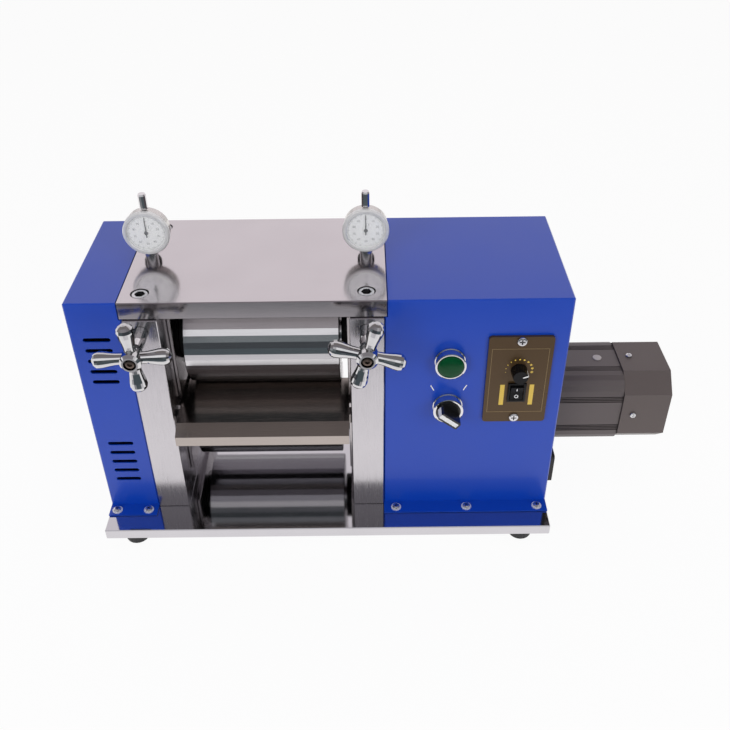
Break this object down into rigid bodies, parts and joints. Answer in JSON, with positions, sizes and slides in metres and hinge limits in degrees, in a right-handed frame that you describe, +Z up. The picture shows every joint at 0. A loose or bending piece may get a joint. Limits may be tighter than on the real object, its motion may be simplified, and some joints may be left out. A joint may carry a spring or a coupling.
{
  "type": "motor driven rolling press",
  "caption": "Bench press with chrome rolls, cross handles and dial gauges for the gap, blue housings, control panel and side motor.",
  "frame": {"origin": "middle of the object's box, on the floor", "axes": "+X along the rolls towards the motor, +Y from the operator's side to the back, +Z up"},
  "size_m": [0.5968, 0.254, 0.3556],
  "materials": {
    "ground_steel": "ground and satin",
    "dark_steel": "dark, oiled",
    "chrome": "polished",
    "satin_aluminium": "satin",
    "blue_paint": "smooth semi-gloss",
    "motor_paint": "fine satin",
    "black_plastic": "satin",
    "black_rubber": "matt",
    "brown_panel": "satin",
    "green_lens": "clear green, glossy"
  },
  "bodies": {
    "press": {"base_plate": "ground_steel", "foot_front_left": "black_rubber", "foot_front_right": "black_rubber", "foot_rear_left": "black_rubber", "foot_rear_right": "black_rubber", "side_frame_left": "ground_steel", "side_frame_right": "ground_steel", "top_plate": "ground_steel", "gear_housing": "blue_paint", "drive_housing": "blue_paint", "feed_tray": "ground_steel", "tray_bar": "ground_steel", "top_screw_front_left": "dark_steel", "top_screw_front_right": "dark_steel", "top_screw_rear_left": "dark_steel", "top_screw_rear_right": "dark_steel", "bearing_block_lower_left": "ground_steel", "bearing_lower_left": "dark_steel", "bearing_block_lower_right": "ground_steel", "bearing_lower_right": "dark_steel", "lift_spring_left": "dark_steel", "screw_sleeve_left": "chrome", "dial_case_left": "satin_aluminium", "lift_spring_right": "dark_steel", "screw_sleeve_right": "chrome", "dial_case_right": "satin_aluminium", "lamp_bezel": "chrome", "lamp_lens": "green_lens", "selector_bezel": "chrome", "speed_controller": "brown_panel", "power_inlet": "black_plastic", "gearbox": "motor_paint", "motor_bracket": "dark_steel", "motor_body": "motor_paint", "fan_cover": "motor_paint"},
    "carriage": {"bearing_block_upper_left": "ground_steel", "bearing_block_upper_right": "ground_steel", "bearing_upper_left": "dark_steel", "bearing_upper_right": "dark_steel"},
    "upper_roll": {"upper_roll": "chrome", "upper_gear": "dark_steel"},
    "lower_roll": {"lower_roll": "chrome", "lower_gear": "dark_steel", "shaft_coupling": "dark_steel"},
    "motor_fan": {"motor_fan": "black_plastic"},
    "selector_knob": {"selector_knob": "black_plastic"},
    "speed_knob": {"speed_knob": "black_plastic"},
    "power_rocker": {"power_rocker": "black_plastic"},
    "handle_left": {"cross_handle_left": "chrome", "adjusting_screw_left": "dark_steel"},
    "wedge_left": {"wedge_left": "dark_steel"},
    "dial_plunger_left": {"dial_plunger_left": "chrome"},
    "dial_needle_left": {"dial_needle_left": "black_plastic"},
    "dial_bezel_left": {"dial_bezel_left": "satin_aluminium"},
    "handle_right": {"cross_handle_right": "chrome", "adjusting_screw_right": "dark_steel"},
    "wedge_right": {"wedge_right": "dark_steel"},
    "dial_plunger_right": {"dial_plunger_right": "chrome"},
    "dial_needle_right": {"dial_needle_right": "black_plastic"},
    "dial_bezel_right": {"dial_bezel_right": "satin_aluminium"}
  },
  "joints": [
    {"name": "handle_left_turn", "type": "hinge", "parent": "press", "child": "handle_left", "pos_m": [-0.23015, -0.074, 0.2548], "axis": [0, 1, 0], "range_deg": [-1801, 1261]},
    {"name": "handle_right_turn", "type": "hinge", "parent": "press", "child": "handle_right", "pos_m": [-0.01965, -0.074, 0.2548], "axis": [0, 1, 0], "range_deg": [-1801, 1261]},
    {"name": "carriage_lift", "type": "slide", "parent": "press", "child": "carriage", "axis": [0, 0, 1], "range_m": [-0.0007, 0.001]},
    {"name": "upper_roll_spin", "type": "hinge", "parent": "carriage", "child": "upper_roll", "pos_m": [-0.1249, 0.008, 0.197], "axis": [1, 0, 0], "continuous": true},
    {"name": "lower_roll_spin", "type": "hinge", "parent": "press", "child": "lower_roll", "pos_m": [-0.1249, 0.008, 0.096], "axis": [1, 0, 0], "continuous": true},
    {"name": "motor_fan_spin", "type": "hinge", "parent": "press", "child": "motor_fan", "pos_m": [0.2486, 0.008, 0.1155], "axis": [1, 0, 0], "continuous": true},
    {"name": "selector_turn", "type": "hinge", "parent": "press", "child": "selector_knob", "pos_m": [0.0596, -0.074, 0.1625], "axis": [0, 1, 0], "range_deg": [0, 104]},
    {"name": "speed_knob_turn", "type": "hinge", "parent": "press", "child": "speed_knob", "pos_m": [0.1261, -0.074, 0.207], "axis": [0, 1, 0], "range_deg": [-207, 63]},
    {"name": "rocker_tilt", "type": "hinge", "parent": "press", "child": "power_rocker", "pos_m": [0.1261, -0.0753, 0.181], "axis": [1, 0, 0], "range_deg": [-16, 0]},
    {"name": "wedge_left_slide", "type": "slide", "parent": "press", "child": "wedge_left", "axis": [0, 1, 0], "range_m": [-0.00705, 0.01005]},
    {"name": "dial_plunger_left_slide", "type": "slide", "parent": "press", "child": "dial_plunger_left", "axis": [0, 0, 1], "range_m": [-0.00071, 0.00101]},
    {"name": "dial_needle_left_turn", "type": "hinge", "parent": "press", "child": "dial_needle_left", "pos_m": [-0.23015, -0.0015, 0.3177], "axis": [0, 1, 0], "range_deg": [-253, 361]},
    {"name": "dial_bezel_left_turn", "type": "hinge", "parent": "press", "child": "dial_bezel_left", "pos_m": [-0.23015, -0.0015, 0.3177], "axis": [0, 1, 0], "continuous": true},
    {"name": "wedge_right_slide", "type": "slide", "parent": "press", "child": "wedge_right", "axis": [0, 1, 0], "range_m": [-0.00705, 0.01005]},
    {"name": "dial_plunger_right_slide", "type": "slide", "parent": "press", "child": "dial_plunger_right", "axis": [0, 0, 1], "range_m": [-0.00071, 0.00101]},
    {"name": "dial_needle_right_turn", "type": "hinge", "parent": "press", "child": "dial_needle_right", "pos_m": [-0.01965, -0.0015, 0.3177], "axis": [0, 1, 0], "range_deg": [-253, 361]},
    {"name": "dial_bezel_right_turn", "type": "hinge", "parent": "press", "child": "dial_bezel_right", "pos_m": [-0.01965, -0.0015, 0.3177], "axis": [0, 1, 0], "continuous": true}
  ],
  "couplings": [
    {"joint": "handle_left_turn", "follows": "carriage_lift", "rad_per_m": -31416},
    {"joint": "handle_right_turn", "follows": "carriage_lift", "rad_per_m": -31416},
    {"joint": "upper_roll_spin", "follows": "lower_roll_spin", "ratio": -1},
    {"joint": "motor_fan_spin", "follows": "lower_roll_spin", "ratio": 30},
    {"joint": "wedge_left_slide", "follows": "carriage_lift", "ratio": 10},
    {"joint": "dial_plunger_left_slide", "follows": "carriage_lift", "ratio": 1},
    {"joint": "dial_needle_left_turn", "follows": "carriage_lift", "rad_per_m": 6283.2},
    {"joint": "wedge_right_slide", "follows": "carriage_lift", "ratio": 10},
    {"joint": "dial_plunger_right_slide", "follows": "carriage_lift", "ratio": 1},
    {"joint": "dial_needle_right_turn", "follows": "carriage_lift", "rad_per_m": 6283.2}
  ]
}
